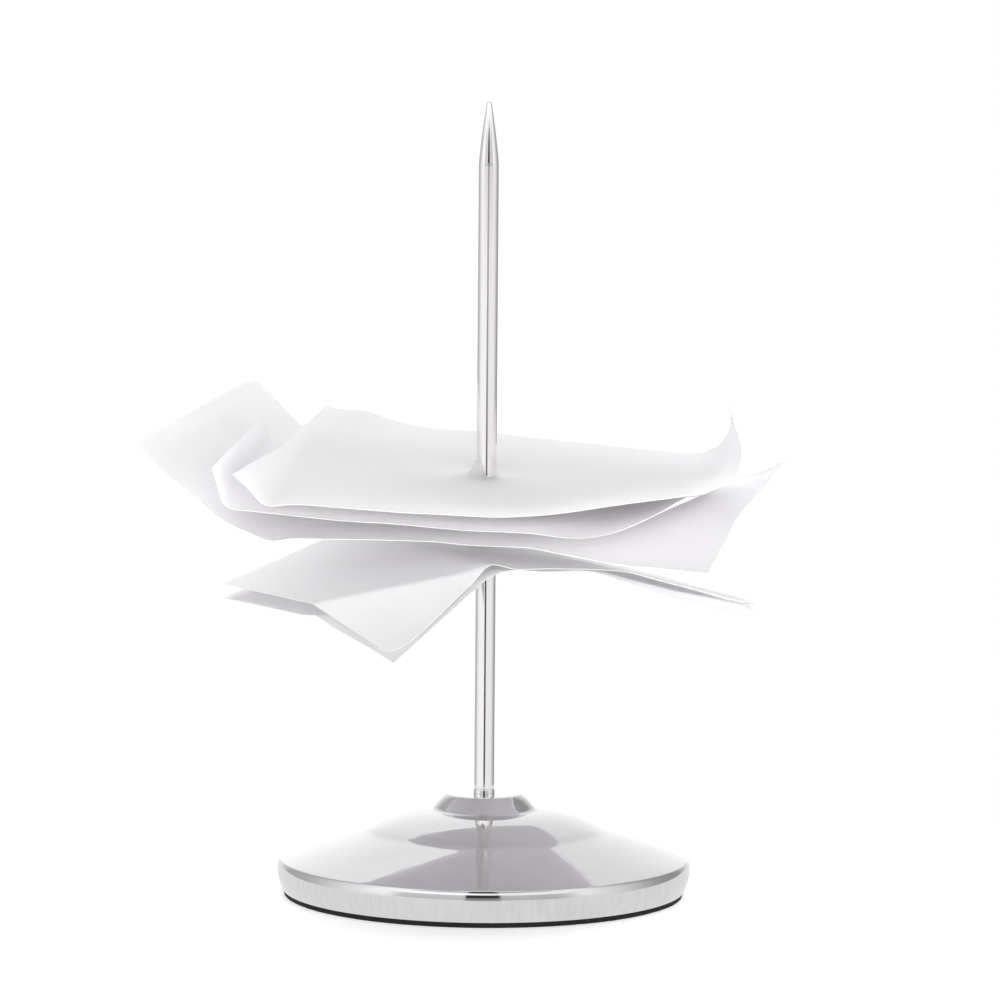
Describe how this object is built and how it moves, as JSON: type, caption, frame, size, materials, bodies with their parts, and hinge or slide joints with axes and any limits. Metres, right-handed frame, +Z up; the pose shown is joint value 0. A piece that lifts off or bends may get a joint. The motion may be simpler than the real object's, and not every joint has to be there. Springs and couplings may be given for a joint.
{
  "type": "bill spike",
  "caption": "Bill spike: a chromed steel rod with a tapered point on a weighted, stepped round base with a foam foot pad, holding loose paper bills speared along the rod.",
  "frame": {"origin": "centre of the foot pad's underside, on the table", "axes": "+Z up along the spike, -Y towards the side the picture shows, +X to the right in the picture"},
  "size_m": [0.1326, 0.1118, 0.162],
  "materials": {
    "chrome_base": "polished chrome plate on pressed steel, faintly smudged on the wall",
    "chrome_spike": "polished chrome plate with fine drawing marks along the rod",
    "chrome_collar": "polished chrome plate, plain turned ring",
    "iron_weight": "as-cast grey iron",
    "zinc_steel": "bright zinc plate",
    "spring_steel": "plain spring steel",
    "black_foam": "matt black foam with a slightly fibrous cut edge",
    "bill_paper": "blank white till paper, slightly wavy"
  },
  "bodies": {
    "base": {"base_shell": "chrome_base", "ballast_weight": "iron_weight", "spike_rod": "chrome_spike", "foot_collar": "chrome_collar", "clamp_washer": "zinc_steel", "lock_washer": "spring_steel", "hex_nut": "zinc_steel", "base_pad": "black_foam"},
    "bill_1": {"bill_1": "bill_paper"},
    "bill_2": {"bill_2": "bill_paper"},
    "bill_3": {"bill_3": "bill_paper"},
    "bill_4": {"bill_4": "bill_paper"},
    "bill_5": {"bill_5": "bill_paper"}
  },
  "joints": [
    {"name": "bill_1_slide", "type": "slide", "parent": "base", "child": "bill_1", "axis": [0, 0, 1], "range_m": [-0.047, 0.012]},
    {"name": "bill_2_slide", "type": "slide", "parent": "bill_1", "child": "bill_2", "axis": [0, 0, 1], "range_m": [0, 0.012]},
    {"name": "bill_3_slide", "type": "slide", "parent": "bill_2", "child": "bill_3", "axis": [0, 0, 1], "range_m": [0, 0.012]},
    {"name": "bill_4_slide", "type": "slide", "parent": "bill_3", "child": "bill_4", "axis": [0, 0, 1], "range_m": [0, 0.012]},
    {"name": "bill_5_slide", "type": "slide", "parent": "bill_4", "child": "bill_5", "axis": [0, 0, 1], "range_m": [0, 0.015]}
  ]
}
